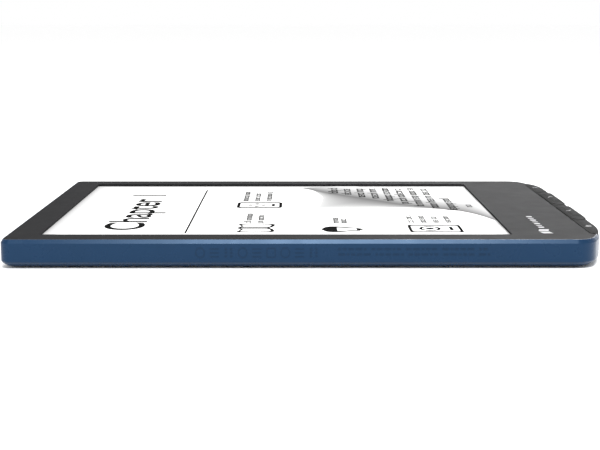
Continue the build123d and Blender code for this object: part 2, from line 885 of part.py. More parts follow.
def key_plan(which):
    """The key's plan: its share of the strip, inside the strip's outer edge."""
    span = key_span(which)
    half, y = key_strip_half - key_gap, (end_y - cut_over, seam_y - key_gap)
    strip = Pos(0, sum(y) / 2) * Rectangle(2 * half, y[1] - y[0])
    strip = fillet(strip.vertices().group_by(Axis.Y)[-1], key_corner_r)
    share = Pos(sum(span) / 2, end_y) * Rectangle(span[1] - span[0], 2 * key_arc_r)
    return strip & share & strip_room()


def key_side(which, crest_z):
    """What lies under a key's top: level to the crest, then curving down to the seam."""
    low_y, crest_y = end_y - cut_over, end_y + key_crest_inset
    run, drop = seam_y - crest_y, crest_z - face_z - key_seam_rise
    radius = (run**2 + drop**2) / (2 * drop)
    turn = math.degrees(math.asin(run / radius))
    top = Line((low_y, crest_z), (crest_y, crest_z))
    down = JernArc(top @ 1, (1, 0), radius, -turn)
    rest = Polyline(down @ 1, (seam_y, cap_bottom), (low_y, cap_bottom), top @ 0)
    low_x, high_x = key_span(which)
    side = Pos(low_x - cut_over, 0, 0) * (Plane.YZ * make_face([top, down, rest]))
    return extrude(side, high_x - low_x + 2 * cut_over)


def key_top(which, crest_z):
    """A key's solid body up to a crest height, with its outer and inner edges rounded."""
    body = slab(key_plan(which), cap_bottom, crest_z + cut_over) & key_side(which, crest_z)
    rows = body.edges().filter_by(lambda e: e.length > key_edge_r and level(e))
    crest = rows.filter_by(lambda e: e.center().Z > crest_z - touch)
    body = fillet(crest.filter_by(lambda e: e.center().Y < end_y + key_crest_inset - touch), key_edge_r)
    inner = body.edges().filter_by(lambda e: level(e) and e.center().Z > face_z)
    return fillet(inner.filter_by(lambda e: e.center().Y > seam_y - key_gap - touch), key_inner_edge_r)


def level(edge):
    """Whether an edge keeps one height."""
    return abs(edge.center().Z - (edge @ 0).Z) < touch


def bump_side(x):
    """The outline that limits a page key's bump: a level top and an S-shaped slope each way."""
    base, high = face_z + key_rise, face_z + bump_rise
    plateau, start = bump_plateau / 2, bump_plateau / 2 + bump_slope
    mid, mid_z = (plateau + start) / 2, (base + high) / 2
    along = ((1, 0), (1, 0))
    left = Spline((-start, base), (-mid, mid_z), (-plateau, high), tangents=along)
    top = Line(left @ 1, (plateau, high))
    right = Spline(top @ 1, (mid, mid_z), (start, base), tangents=along)
    under = Polyline(right @ 1, (start, cap_bottom), (-start, cap_bottom), left @ 0)
    face = Plane.XZ * make_face([left, top, right, under])
    return extrude(Pos(x, end_y + key_arc_r / 2, 0) * face, key_arc_r)


def key_cap(which):
    cap = key_top(which, face_z + key_rise)
    if which in (1, 2):
        cap += key_top(which, face_z + bump_rise) & bump_side(key_centre(which))
    span = key_span(which)
    inner_y = seam_y - key_gap
    hollow_x = (span[0] + key_shell, span[1] - key_shell)
    hollow_y = (end_y + key_shell, inner_y - key_shell)
    cap -= block(hollow_x, hollow_y, (cap_bottom - cut_over, flange_bottom - key_roof_gap))
    tongue_half = key_strip_half - key_tongue_end_gap
    tongue_x = (max(span[0], -tongue_half), min(span[1], tongue_half))
    tongue_y = (inner_y - key_tongue_root, inner_y + key_tongue - key_stop_gap * 2)
    cap += block(tongue_x, tongue_y, (cap_bottom + key_stop_gap, flange_bottom - key_stop_gap))
    cap += peg(key_centre(which), post_y, (plunger_top, flange_bottom), post_r)
    return cap


def key_plunger(which):
    return peg(key_centre(which), post_y, (plunger_top - plunger_length, plunger_top), plunger_r)


def key_switches():
    """Four push switches on the board's upper side, under the key posts."""
    width, depth, height = switch_size
    bases = []
    for which in range(4):
        x = key_centre(which)
        base = block(around(x, width), around(post_y, depth), (board_top, board_top + height))
        bases.append(base - peg(x, post_y, (board_top + 0.02, board_top + height + 1), plunger_r + 0.05))
    return group(bases)


def key_carrier():
    """The bar below the keys that guides their posts and closes the key slot from inside."""
    z = (chassis_bottom, carrier_top)
    y_low = end_y + cover_wall + 0.1
    bar_half = key_strip_half - key_corner_r - key_gap
    bar = block((-bar_half, bar_half), (y_low, carrier_screw_y - 0.6), z)
    carrier = bar & slab(outline(cover_wall + 0.1), *z)
    for x, y in carrier_screw_places():
        carrier += plate(around(x, tab_width - 0.5), (y - 1.6, y + 1.6), z, 0.8)
        carrier -= peg(x, y, through(z), screw_hole_r)
    for which in range(4):
        carrier -= peg(key_centre(which), post_y, through(z), post_r + 0.08)
    return carrier


def key_seal():
    """The rubber strip under the carrier, with a lip round each key post."""
    z = (chassis_bottom - key_seal_t, chassis_bottom)
    x = key_centre(3) + 3.0
    strip = plate((-x, x), around(post_y, 2.2), z, 0.8) & slab(outline(cover_wall + 0.1), *z)
    for which in range(4):
        strip -= peg(key_centre(which), post_y, through(z), post_r + 0.05)
    return strip


# ---------------------------------------------------------------- the whole set
key_names = ("home_key", "back_key", "forward_key", "menu_key")


def all_parts():
    parts = {
        "rear_cover": rear_cover(),
        "front_frame": front_frame(),
        "perimeter_seal": perimeter_seal(),
        "display_gasket": display_gasket(),
        "touch_film": touch_film(),
        "light_guide": light_guide(),
        "front_light_strip": front_light_strip(),
        "front_light_leds": front_light_leds(),
        "epaper_film": epaper_film(),
        "display_backplane": display_backplane(),
        "display_driver": display_driver(),
        "display_tape": display_tape(),
        "display_cable": flat_cable(display_cable_x, display_cable_w),
        "display_connector": flat_connector(display_cable_x, display_cable_w),
        "touch_cable": flat_cable(touch_cable_x, touch_cable_w),
        "touch_connector": flat_connector(touch_cable_x, touch_cable_w),
        "front_light_cable": flat_cable(light_cable_x, light_cable_w),
        "front_light_connector": flat_connector(light_cable_x, light_cable_w),
        "chassis_plate": chassis_plate(),
        "chassis_screws": chassis_screws(),
        "mainboard": mainboard(),
        "mainboard_screws": mainboard_screws(),
        "processor": processor(),
        "ram_chip": ram_chip(),
        "storage_chip": storage_chip(),
        "power_chip": power_chip(),
        "display_power_chip": display_power_chip(),
        "wireless_module": wireless_module(),
        "antenna": antenna(),
        "small_components": small_components(),
        "hall_sensor": hall_sensor(),
        "battery_cell": battery_cell(),
        "battery_circuit": battery_circuit(),
        "battery_leads": battery_leads(),
        "battery_plug": battery_plug(),
        "battery_socket": battery_socket(),
        "battery_tape": battery_tape(),
        "foam_supports": foam_supports(),
        "usb_shell": usb_shell(),
        "usb_tongue": usb_tongue(),
        "usb_seal": usb_seal(),
        "power_button": power_button(),
        "power_plunger": power_plunger(),
        "power_switch": power_switch(),
        "light_pipe": light_pipe(),
        "status_led": status_led(),
        "key_carrier": key_carrier(),
        "carrier_screws": carrier_screws(),
        "key_seal": key_seal(),
        "key_switches": key_switches(),
    }
    for which, name in enumerate(key_names):
        parts[name] = key_cap(which)
        parts[name + "_plunger"] = key_plunger(which)
    return parts


def main():
    os.makedirs("parts", exist_ok=True)
    for name, shape in all_parts().items():
        export_step(shape, f"parts/{name}.step")


main()
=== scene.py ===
import json
import math
import random

import bmesh
import bpy
from mathutils import Euler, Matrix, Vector
from mathutils.bvhtree import BVHTree


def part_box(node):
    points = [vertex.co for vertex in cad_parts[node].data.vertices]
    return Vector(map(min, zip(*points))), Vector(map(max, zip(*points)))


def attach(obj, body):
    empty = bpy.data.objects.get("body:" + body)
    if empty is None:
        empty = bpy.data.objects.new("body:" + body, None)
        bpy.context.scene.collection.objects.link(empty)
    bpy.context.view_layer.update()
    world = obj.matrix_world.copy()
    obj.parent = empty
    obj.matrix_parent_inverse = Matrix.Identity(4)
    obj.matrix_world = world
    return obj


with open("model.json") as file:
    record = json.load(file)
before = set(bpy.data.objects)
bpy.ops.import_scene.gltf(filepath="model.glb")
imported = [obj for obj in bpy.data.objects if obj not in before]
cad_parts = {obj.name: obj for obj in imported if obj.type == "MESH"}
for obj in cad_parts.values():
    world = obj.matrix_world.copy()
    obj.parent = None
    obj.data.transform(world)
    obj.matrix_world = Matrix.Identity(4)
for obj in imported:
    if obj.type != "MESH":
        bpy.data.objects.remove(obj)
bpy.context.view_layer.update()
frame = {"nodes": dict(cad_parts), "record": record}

MM = 0.001

# ---------------------------------------------------------------- places, from the frame
case_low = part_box("rear_cover")[0]
film_low, film_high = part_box("touch_film")
frame_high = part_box("front_frame")[1]

# The frame's opening over the screen: the film runs under the frame by these widths
FILM_SIDE_HIDDEN = 1.99 * MM
FILM_END_HIDDEN = 2.58 * MM
window_half_width = film_high.x - FILM_SIDE_HIDDEN
window_top = film_high.y - FILM_END_HIDDEN
window_bottom = film_low.y + FILM_END_HIDDEN

# How proud printed marks stand, and how far apart layers of the picture lie
PRINT_T = 0.012 * MM
LAYER = 0.01 * MM
MERGE_DISTANCE = 1e-7


# ---------------------------------------------------------------- node helpers
class Nodes:
    """A short way to build one material's node tree."""

    def __init__(self, name):
        self.material = bpy.data.materials.new(name)
        self.material.use_nodes = True
        self.tree = self.material.node_tree
        self.shader = self.tree.nodes["Principled BSDF"]
        self.place = self.new("ShaderNodeTexCoord").outputs["Object"]

    def new(self, kind, **inputs):
        node = self.tree.nodes.new(kind)
        for key, value in inputs.items():
            node.inputs[key.replace("_", " ")].default_value = value
        return node

    def link(self, source, target):
        self.tree.links.new(source, target)

    def set(self, **values):
        for key, value in values.items():
            self.shader.inputs[key.replace("_", " ")].default_value = value

    def noise(self, grain_mm, detail=2.0, stretch=None):
        """Noise with features about grain_mm across, drawn out along an axis by stretch."""
        node = self.new("ShaderNodeTexNoise", Scale=1.0, Detail=detail, Roughness=0.55)
        self.link(self.scaled(grain_mm, stretch), node.inputs["Vector"])
        return node.outputs["Fac"]

    def scaled(self, grain_mm, stretch=None):
        mapping = self.new("ShaderNodeMapping")
        factors = stretch or (1.0, 1.0, 1.0)
        mapping.inputs["Scale"].default_value = [1.0 / (grain_mm * MM * f) for f in factors]
        self.link(self.place, mapping.inputs["Vector"])
        return mapping.outputs["Vector"]

    def cells(self, pitch_mm, feature="F1", randomness=1.0):
        node = self.new("ShaderNodeTexVoronoi", Scale=1.0, Randomness=randomness)
        node.feature = feature
        self.link(self.scaled(pitch_mm), node.inputs["Vector"])
        return node.outputs["Distance"]

    def ramp(self, factor, stops):
        """A colour ramp from (position, colour) stops."""
        node = self.new("ShaderNodeValToRGB")
        ramp = node.color_ramp
        while len(ramp.elements) < len(stops):
            ramp.elements.new(1.0)
        for element, (position, colour) in zip(ramp.elements, stops):
            element.position = position
            element.color = colour if len(colour) == 4 else (*colour, 1.0)
        self.link(factor, node.inputs["Fac"])
        return node.outputs["Color"]

    def span(self, factor, low, high, from_low=0.3, from_high=0.7):
        """Factor's middle range spread over low to high."""
        node = self.new("ShaderNodeMapRange")
        node.inputs["From Min"].default_value = from_low
        node.inputs["From Max"].default_value = from_high
        node.inputs["To Min"].default_value = low
        node.inputs["To Max"].default_value = high
        self.link(factor, node.inputs["Value"])
        return node.outputs["Result"]

    def math(self, operation, a, b=None):
        node = self.new("ShaderNodeMath")
        node.operation = operation
        for socket, value in zip(node.inputs, (a, b)):
            if value is None:
                continue
            if isinstance(value, (int, float)):
                socket.default_value = value
            else:
                self.link(value, socket)
        return node.outputs["Value"]

    def bump(self, height, strength, depth_mm):
        node = self.new("ShaderNodeBump", Strength=strength, Distance=depth_mm * MM)
        self.link(height, node.inputs["Height"])
        return node

    def colour(self, source):
        self.link(source, self.shader.inputs["Base Color"])

    def roughness(self, source):
        self.link(source, self.shader.inputs["Roughness"])

    def normal(self, bump):
        self.link(bump.outputs["Normal"], self.shader.inputs["Normal"])


def srgb(red, green, blue):
    """An 8-bit screen colour as linear light."""

    def linear(value):
        value /= 255
        return value / 12.92 if value <= 0.04045 else ((value + 0.055) / 1.055) ** 2.4

    return (linear(red), linear(green), linear(blue))


def shade(colour, factor):
    """A colour made lighter or darker."""
    return tuple(min(1.0, channel * factor) for channel in colour)


# The light on the page makes its greys this much brighter than they are
PAGE_LIGHT = 1.38


def page_grey(value):
    """The paint that shows as this 8-bit grey under the light on the page."""
    return shade(srgb(value, value, value), 1 / PAGE_LIGHT)


# ---------------------------------------------------------------- materials
# The blue plastic's sheen keeps some of its colour
BLUE_SHEEN = (0.48, 0.70, 1.0, 1.0)
BLUE_IOR = 1.38

# Ink in the picture: hardly any sheen, and a very fine grain
INK_IOR = 1.02
INK_GRAIN = 0.12
INK_ROUGH = (0.7, 0.8)

# Width of the painted shade along the opening's edge, where the frame shades the sunken screen
PAINTED_SHADE_WIDTH = 4.5 * MM


def moulded_plastic(name, colour, rough, grain_mm, grain_depth_mm, mottle, rough_spread=0.06):
    """Moulded plastic: a fine grain, a faint mottle and a slightly uneven sheen."""
    n = Nodes(name)
    broad = n.noise(14.0, 3.0)
    n.colour(n.ramp(broad, [(0.3, shade(colour, 1 - mottle)), (0.7, shade(colour, 1 + mottle))]))
    grain = n.noise(grain_mm, 3.0)
    n.roughness(n.span(n.noise(5.0, 4.0), rough - rough_spread, rough + rough_spread))
    n.normal(n.bump(grain, 0.5, grain_depth_mm))
    return n


def blue_plastic():
    n = moulded_plastic("blue_plastic", (0.0035, 0.019, 0.051), 0.28, 0.22, 0.004, 0.04, 0.03)
    n.set(IOR=BLUE_IOR, Specular_Tint=BLUE_SHEEN)
    return n.material


def dark_plastic():
    n = moulded_plastic("dark_plastic", (0.010, 0.010, 0.011), 0.62, 0.18, 0.004, 0.03, 0.02)
    n.set(IOR=1.11)
    return n.material


def key_plastic():
    """Soft matte plastic with a close pattern of fine pips, with painted shade in the hollows between them.
    """
    n = Nodes("key_plastic")
    pips = n.cells(0.42, randomness=0.25)
    height = n.span(pips, 1.0, 0.0, 0.1, 0.5)
    # Painted shade: the colour follows the pips' height, darker in the hollows and lighter on the tops
    n.colour(n.ramp(height, [(0.0, (0.030, 0.030, 0.030)), (1.0, (0.058, 0.058, 0.060))]))
    n.roughness(n.span(n.noise(2.0), 0.74, 0.82))
    n.normal(n.bump(height, 0.5, 0.02))
    n.set(IOR=1.08)
    return n.material


def screen_film():
    """The picture's white, with painted shade greying it towards the frame that shades the sunken screen,
    and an anti-glare grain.
    """
    n = Nodes("screen_film")
    split = n.new("ShaderNodeSeparateXYZ")
    n.link(n.place, split.inputs["Vector"])
    across = n.math("SUBTRACT", window_half_width, n.math("ABSOLUTE", split.outputs["X"]))
    middle = (window_top + window_bottom) / 2
    half = (window_top - window_bottom) / 2
    along = n.math("SUBTRACT", half, n.math("ABSOLUTE", n.math("SUBTRACT", split.outputs["Y"], middle)))
    inward = n.math("MINIMUM", across, along)
    # Painted shade: the film's white greys over the last few millimetres towards the frame
    n.colour(n.ramp(n.span(inward, 0.0, 1.0, 0.0, PAINTED_SHADE_WIDTH), [
        (0.0, page_grey(196)), (0.35, page_grey(218)), (0.7, page_grey(236)),
        (1.0, srgb(250, 250, 249)),
    ]))
    n.roughness(n.span(n.noise(0.12, 1.0), 0.42, 0.56))
    n.normal(n.bump(n.noise(0.1, 1.0), 0.25, 0.003))
    n.set(IOR=1.35)
    return n.material


def clear_acrylic():
    n = Nodes("clear_acrylic")
    n.set(Transmission_Weight=0.9, IOR=1.49)
    n.colour(n.ramp(n.noise(3.0), [(0.3, (0.90, 0.93, 0.95)), (0.7, (0.96, 0.98, 0.99))]))
    n.roughness(n.span(n.noise(1.0), 0.04, 0.10))
    return n.material


def epaper_layer():
    """A layer of ink capsules, seen as a very fine speckle."""
    n = Nodes("epaper_layer")
    capsules = n.cells(0.06)
    n.colour(n.ramp(capsules, [(0.1, srgb(222, 222, 216)), (0.6, srgb(205, 205, 200))]))
    n.roughness(n.span(n.noise(0.4), 0.6, 0.75))
    return n.material


def panel_glass():
    n = Nodes("panel_glass")
    n.colour(n.ramp(n.noise(20.0), [(0.3, srgb(120, 128, 126)), (0.7, srgb(134, 142, 140))]))
    n.roughness(n.span(n.noise(6.0), 0.05, 0.12))
    return n.material


def black_rubber():
    n = moulded_plastic("black_rubber", srgb(26, 26, 27), 0.75, 0.35, 0.02, 0.12)
    return n.material


def foam():
    n = Nodes("foam")
    cells = n.cells(0.5, "DISTANCE_TO_EDGE")
    n.colour(n.ramp(cells, [(0.0, srgb(78, 78, 80)), (0.25, srgb(36, 36, 38))]))
    n.roughness(n.span(cells, 0.95, 0.8, 0.0, 0.3))
    n.normal(n.bump(cells, 0.9, 0.15))
    return n.material


def tape():
    n = Nodes("tape")
    weave = n.noise(0.5, 2.0, (1.0, 6.0, 1.0))
    n.colour(n.ramp(weave, [(0.3, srgb(70, 70, 68)), (0.7, srgb(92, 92, 90))]))
    n.roughness(n.span(weave, 0.5, 0.7))
    n.normal(n.bump(weave, 0.3, 0.02))
    return n.material


def circuit_board():
    """Green solder mask over copper runs, with small bare pads."""
    n = Nodes("circuit_board")
    runs = n.new("ShaderNodeTexBrick", Scale=1.0, Mortar_Size=0.08, Brick_Width=1.6, Row_Height=0.5)
    n.link(n.scaled(2.2), runs.inputs["Vector"])
    runs.inputs["Color1"].default_value = (*srgb(20, 84, 52), 1)
    runs.inputs["Color2"].default_value = (*srgb(17, 74, 46), 1)
    runs.inputs["Mortar"].default_value = (*srgb(12, 56, 36), 1)
    pads = n.cells(1.7, randomness=0.9)
    pad = n.math("LESS_THAN", pads, 0.12)
    mix = n.new("ShaderNodeMix")
    mix.data_type = "RGBA"
    n.link(pad, mix.inputs["Factor"])
    n.link(runs.outputs["Color"], mix.inputs[6])
    mix.inputs[7].default_value = (*srgb(196, 170, 96), 1)
    n.colour(mix.outputs[2])
    n.link(pad, n.shader.inputs["Metallic"])
    n.roughness(n.span(n.noise(2.0), 0.28, 0.4))
    n.normal(n.bump(runs.outputs["Fac"], 0.3, 0.02))
    return n.material


def polyimide():
    """Amber film with copper conductors along it."""
    n = Nodes("polyimide")
    wave = n.new("ShaderNodeTexWave", Scale=0.35, Distortion=0.0)
    wave.bands_direction = "X"
    n.link(n.scaled(1.0), wave.inputs["Vector"])
    n.colour(n.ramp(wave.outputs["Fac"], [(0.45, srgb(150, 88, 24)), (0.55, srgb(196, 124, 52))]))
    n.roughness(n.span(n.noise(1.5), 0.22, 0.35))
    n.normal(n.bump(wave.outputs["Fac"], 0.4, 0.02))
    return n.material


def connector_plastic():
    n = moulded_plastic("connector_plastic", srgb(38, 38, 40), 0.45, 0.3, 0.01, 0.1)
    return n.material


def chip_epoxy():
    n = moulded_plastic("chip_epoxy", srgb(34, 34, 36), 0.62, 0.12, 0.01, 0.08)
    return n.material


def led_package():
    n = Nodes("led_package")
    dome = n.cells(1.4, randomness=0.4)
    n.colour(n.ramp(dome, [(0.2, srgb(240, 210, 90)), (0.5, srgb(238, 238, 230))]))
    n.roughness(n.span(n.noise(0.6), 0.2, 0.35))
    return n.material


def antenna_ceramic():
    n = Nodes("antenna_ceramic")
    n.colour(n.ramp(n.cells(0.4), [(0.1, srgb(232, 232, 226)), (0.8, srgb(214, 214, 208))]))
    n.roughness(n.span(n.noise(0.8), 0.3, 0.45))
    n.normal(n.bump(n.noise(0.2), 0.3, 0.01))
    return n.material


def metal(name, colour, rough, stretch, depth_mm):
    """Worked metal whose marks run along the stretched axis."""
    n = Nodes(name)
    n.set(Metallic=1.0)
    lines = n.noise(0.12, 3.0, stretch)
    n.colour(n.ramp(n.noise(6.0), [(0.3, shade(colour, 0.93)), (0.7, shade(colour, 1.05))]))
    n.roughness(n.span(lines, rough - 0.07, rough + 0.09))
    n.normal(n.bump(lines, 0.35, depth_mm))
    return n.material


def steel():
    return metal("steel", (0.60, 0.60, 0.61), 0.26, (12.0, 1.0, 1.0), 0.006)


def chassis_metal():
    return metal("chassis_metal", (0.66, 0.67, 0.69), 0.36, (1.0, 30.0, 1.0), 0.008)


def cell_wrap():
    """A crinkled aluminium laminate."""
    n = Nodes("cell_wrap")
    n.set(Metallic=0.85)
    crinkle = n.noise(5.0, 6.0)
    n.colour(n.ramp(crinkle, [(0.3, (0.48, 0.49, 0.51)), (0.7, (0.62, 0.63, 0.65))]))
    n.roughness(n.span(n.noise(0.8), 0.3, 0.42))
    n.normal(n.bump(crinkle, 0.4, 0.1))
    return n.material


def wire_insulation():
    n = moulded_plastic("wire_insulation", srgb(150, 30, 26), 0.38, 0.3, 0.01, 0.08)
    return n.material


def picture_ink(name, colour):
    """Ink in the picture, with the faint speckle of its pigment."""
    n = Nodes(name)
    n.colour(n.ramp(n.noise(0.15), [(0.3, shade(colour, 0.85)), (0.7, shade(colour, 1.2))]))
    n.roughness(n.span(n.noise(INK_GRAIN, 1.0), *INK_ROUGH))
    n.set(IOR=INK_IOR)
    return n.material


def across_strip(name, stops):
    """Grey shading that runs across a strip, from its first edge to its second."""
    n = Nodes(name)
    texture = n.new("ShaderNodeTexCoord")
    split = n.new("ShaderNodeSeparateXYZ")
    n.link(texture.outputs["UV"], split.inputs["Vector"])
    n.colour(n.ramp(split.outputs["Y"], stops))
    n.roughness(n.span(n.noise(INK_GRAIN, 1.0), *INK_ROUGH))
    n.set(IOR=INK_IOR)
    return n.material


def printed_mark(name, colour):
    """Printed or lasered marks on plastic."""
    n = Nodes(name)
    n.colour(n.ramp(n.noise(0.12), [(0.35, shade(colour, 0.8)), (0.65, colour)]))
    n.roughness(n.span(n.noise(0.4), 0.45, 0.6))
    return n.material


def blue_mark():
    """Marks moulded into the blue shell, a little duller and darker than it."""
    n = moulded_plastic("side_ink", (0.002, 0.013, 0.036), 0.36, 0.22, 0.004, 0.06)
    n.set(IOR=BLUE_IOR, Specular_Tint=BLUE_SHEEN)
    return n.material


SLOT_MATERIALS = {
    make.__name__: make()
    for make in (
        blue_plastic, dark_plastic, key_plastic, screen_film, clear_acrylic, epaper_layer, panel_glass,
        black_rubber, foam, tape, circuit_board, polyimide, connector_plastic, chip_epoxy, led_package,
        antenna_ceramic, steel, chassis_metal, cell_wrap, wire_insulation,
    )
}


def dress_frame():
    """Gives every CAD node the material of its slot."""
    for part in frame["record"]["subparts"]:
        node = frame["nodes"][part["node"]]
        material = SLOT_MATERIALS[part["material_slot"]]
        node.data.materials.clear()
        node.data.materials.append(material)


# ---------------------------------------------------------------- flat shapes
def finish_piece(obj, material, body):
    """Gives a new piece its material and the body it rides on."""
    obj.data.materials.clear()
    obj.data.materials.append(material)
    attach(obj, body)


def add_mesh(name, shape):
    """A new object from a finished shape, which is freed."""
    mesh = bpy.data.meshes.new(name)
    shape.to_mesh(mesh)
    shape.free()
    obj = bpy.data.objects.new(name, mesh)
    bpy.context.collection.objects.link(obj)
    return obj


def flat_curve(name, outlines, z):
    """A thin solid from closed outlines in millimetres; an outline inside another makes a hole."""
    curve = bpy.data.curves.new(name, "CURVE")
    curve.dimensions = "2D"
    curve.fill_mode = "BOTH"
    curve.extrude = PRINT_T / 2
    for points in outlines:
        spline = curve.splines.new("POLY")
        spline.points.add(len(points) - 1)
        for point, (x, y) in zip(spline.points, points):
            point.co = (x * MM, y * MM, 0, 1)
        spline.use_cyclic_u = True
    return curve_to_mesh(name, curve, z + PRINT_T / 2)


def curve_to_mesh(name, curve, z):
    """Turns a curve or text into a mesh whose place is in its vertices."""
    source = bpy.data.objects.new(name + "_source", curve)
    bpy.context.collection.objects.link(source)
    bpy.context.view_layer.update()
    graph = bpy.context.evaluated_depsgraph_get()
    mesh = bpy.data.meshes.new_from_object(source.evaluated_get(graph))
    bpy.data.objects.remove(source)
    bpy.data.curves.remove(curve)
    shape = bmesh.new()
    shape.from_mesh(mesh)
    bpy.data.meshes.remove(mesh)
    bmesh.ops.remove_doubles(shape, verts=shape.verts, dist=MERGE_DISTANCE)
    bmesh.ops.translate(shape, verts=shape.verts, vec=(0.0, 0.0, z))
    bmesh.ops.recalc_face_normals(shape, faces=shape.faces)
    return add_mesh(name, shape)


def rounded_box(x_low, x_high, y_low, y_high, radius, steps=6):
    """The outline of a rectangle with round corners."""
    centres = [
        (x_high - radius, y_high - radius, 0), (x_low + radius, y_high - radius, 90),
        (x_low + radius, y_low + radius, 180), (x_high - radius, y_low + radius, 270),
    ]
    points = []
    for cx, cy, start in centres:
        for i in range(steps + 1):
            angle = math.radians(start + 90 * i / steps)
            points.append((cx + radius * math.cos(angle), cy + radius * math.sin(angle)))
    return points


def ellipse(cx, cy, rx, ry, steps=40):
    """The outline of an ellipse."""
    angles = [math.radians(360 * i / steps) for i in range(steps)]
    return [(cx + rx * math.cos(a), cy + ry * math.sin(a)) for a in angles]


def smooth_line(points, steps=12):
    """Points along a smooth curve through the given ones."""
    result = []
    ends = [points[0], *points, points[-1]]
    for i in range(1, len(ends) - 2):
        p0, p1, p2, p3 = (Vector(p) for p in ends[i - 1:i + 3])
        for step in range(steps):
            t = step / steps
            a = 2 * p1
            b = p2 - p0
            c = 2 * p0 - 5 * p1 + 4 * p2 - p3
            d = 3 * p1 - p0 - 3 * p2 + p3
            result.append(tuple(0.5 * (a + b * t + c * t ** 2 + d * t ** 3)))
    return result + [tuple(points[-1])]


def between(a, b, share):
    """The point a share of the way from a to b."""
    return (a[0] + (b[0] - a[0]) * share, a[1] + (b[1] - a[1]) * share)


def strip_between(name, first, second, z, material):
    """A thin closed strip between two lines with as many points each, shaded across by its UV map."""
    shape = bmesh.new()
    uv = shape.loops.layers.uv.new("UVMap")
    lanes = 6
    rows = []
    for level in (z, z + PRINT_T):
        grid = []
        for lane in range(lanes + 1):
            points = [between(a, b, lane / lanes) for a, b in zip(first, second)]
            grid.append([shape.verts.new((x * MM, y * MM, level)) for x, y in points])
        rows.append(grid)
    count = len(first)
    lookup = {}
    for grid in rows:
        for lane, line in enumerate(grid):
            for i, vert in enumerate(line):
                lookup[vert] = (i / (count - 1), lane / lanes)
    low, high = rows

    def add(*verts):
        face = shape.faces.new(verts)
        for loop in face.loops:
            loop[uv].uv = lookup[loop.vert]

    for lane in range(lanes):
        for i in range(count - 1):
            add(high[lane][i], high[lane][i + 1], high[lane + 1][i + 1], high[lane + 1][i])
            add(low[lane][i], low[lane + 1][i], low[lane + 1][i + 1], low[lane][i + 1])
    for lane in (0, lanes):
        for i in range(count - 1):
            add(low[lane][i], low[lane][i + 1], high[lane][i + 1], high[lane][i])
    for i in (0, count - 1):
        for lane in range(lanes):
            add(low[lane][i], low[lane + 1][i], high[lane + 1][i], high[lane][i])
    bmesh.ops.recalc_face_normals(shape, faces=shape.faces)
    finish_piece(add_mesh(name, shape), material, "case")


# ---------------------------------------------------------------- the picture on the screen
PICTURE_Z = film_high.z + LAYER
INK_Z = PICTURE_Z + PRINT_T + LAYER

black_ink = picture_ink("black_ink", srgb(22, 22, 22))
grey_ink = picture_ink("grey_ink", srgb(84, 84, 84))
frame_ink = printed_mark("frame_ink", srgb(160, 160, 162))
side_ink = blue_mark()
key_ink = printed_mark("key_ink", srgb(98, 98, 100))


def screen_piece(name, outlines, z=INK_Z):
    """One black drawing on the screen, from outlines in millimetres."""
    finish_piece(flat_curve(name, outlines, z), black_ink, "case")


HEADING_SIZE = 15.2 * MM
HEADING_BOLD = 0.15 * MM
HEADING_SPACING = 0.94
HEADING_X = -36 * MM
HEADING_WIDTH = 63 * MM
HEADING_BASELINE = 44.4 * MM


def heading():
    """The page's heading in plain bold letters."""
    text = bpy.data.curves.new("heading", "FONT")
    text.body = "Chapter 1"
    text.size = HEADING_SIZE
    text.offset = HEADING_BOLD
    text.extrude = PRINT_T / 2
    text.space_character = HEADING_SPACING
    obj = curve_to_mesh("heading", text, INK_Z + PRINT_T / 2)
    low = min(v.co.x for v in obj.data.vertices)
    high = max(v.co.x for v in obj.data.vertices)
    squeeze = HEADING_WIDTH / (high - low)
    for vert in obj.data.vertices:
        vert.co.x = HEADING_X + (vert.co.x - low) * squeeze
        vert.co.y = vert.co.y + HEADING_BASELINE
    finish_piece(obj, black_ink, "case")


def heading_rule():
    """The line under the heading."""
    screen_piece("heading_rule", [rounded_box(-41, 37, 31.75, 32.25, 0.2)])


# Made-up letters, as boxes in parts of the letters' height: x from and to, y from and to
LEFT_STEM = (0.0, 0.28, 0.0, 1.0)
RIGHT_STEM = (0.62, 0.9, 0.0, 1.0)
TOP_BAR = (0.28, 0.62, 0.74, 1.0)
LOW_BAR = (0.28, 0.62, 0.0, 0.26)
LETTERS = {
    "stem": [(0.0, 0.3, 0.0, 1.0)],
    "tall": [(0.0, 0.3, 0.0, 1.5)],
    "arch": [LEFT_STEM, TOP_BAR, RIGHT_STEM],
    "bowl": [LEFT_STEM, TOP_BAR, LOW_BAR, RIGHT_STEM],
    "open": [LEFT_STEM, (0.28, 0.8, 0.74, 1.0), (0.28, 0.8, 0.0, 0.26)],
    "drop": [(0.0, 0.28, -0.45, 1.0), TOP_BAR, LOW_BAR, RIGHT_STEM],
    "bars": [LEFT_STEM, (0.28, 0.75, 0.8, 1.0), (0.28, 0.75, 0.4, 0.6), (0.28, 0.75, 0.0, 0.2)],
}
LETTER_GAP = 0.22
WORD_GAP = 0.45
WORD_LETTERS = (2, 8)


def greek_lines(name, lines, height, material, seed):
    """Rows of made-up letters that say nothing; lines are (x start, x end, baseline y) in millimetres."""
    chance = random.Random(seed)
    kinds = sorted(LETTERS)
    shape = bmesh.new()
    for start, end, base in lines:
        x = start
        left = chance.randint(*WORD_LETTERS)
        while True:
            letter = LETTERS[chance.choice(kinds)]
            width = max(part[1] for part in letter) * height
            if x + width > end:
                break
            for x_low, x_high, y_low, y_high in letter:
                across = (x + x_low * height, x + x_high * height)
                add_tile(shape, *across, base + y_low * height, base + y_high * height)
            x += width + LETTER_GAP * height
            left -= 1
            if left == 0:
                x += WORD_GAP * height
                left = chance.randint(*WORD_LETTERS)
    finish_piece(add_mesh(name, shape), material, "case")


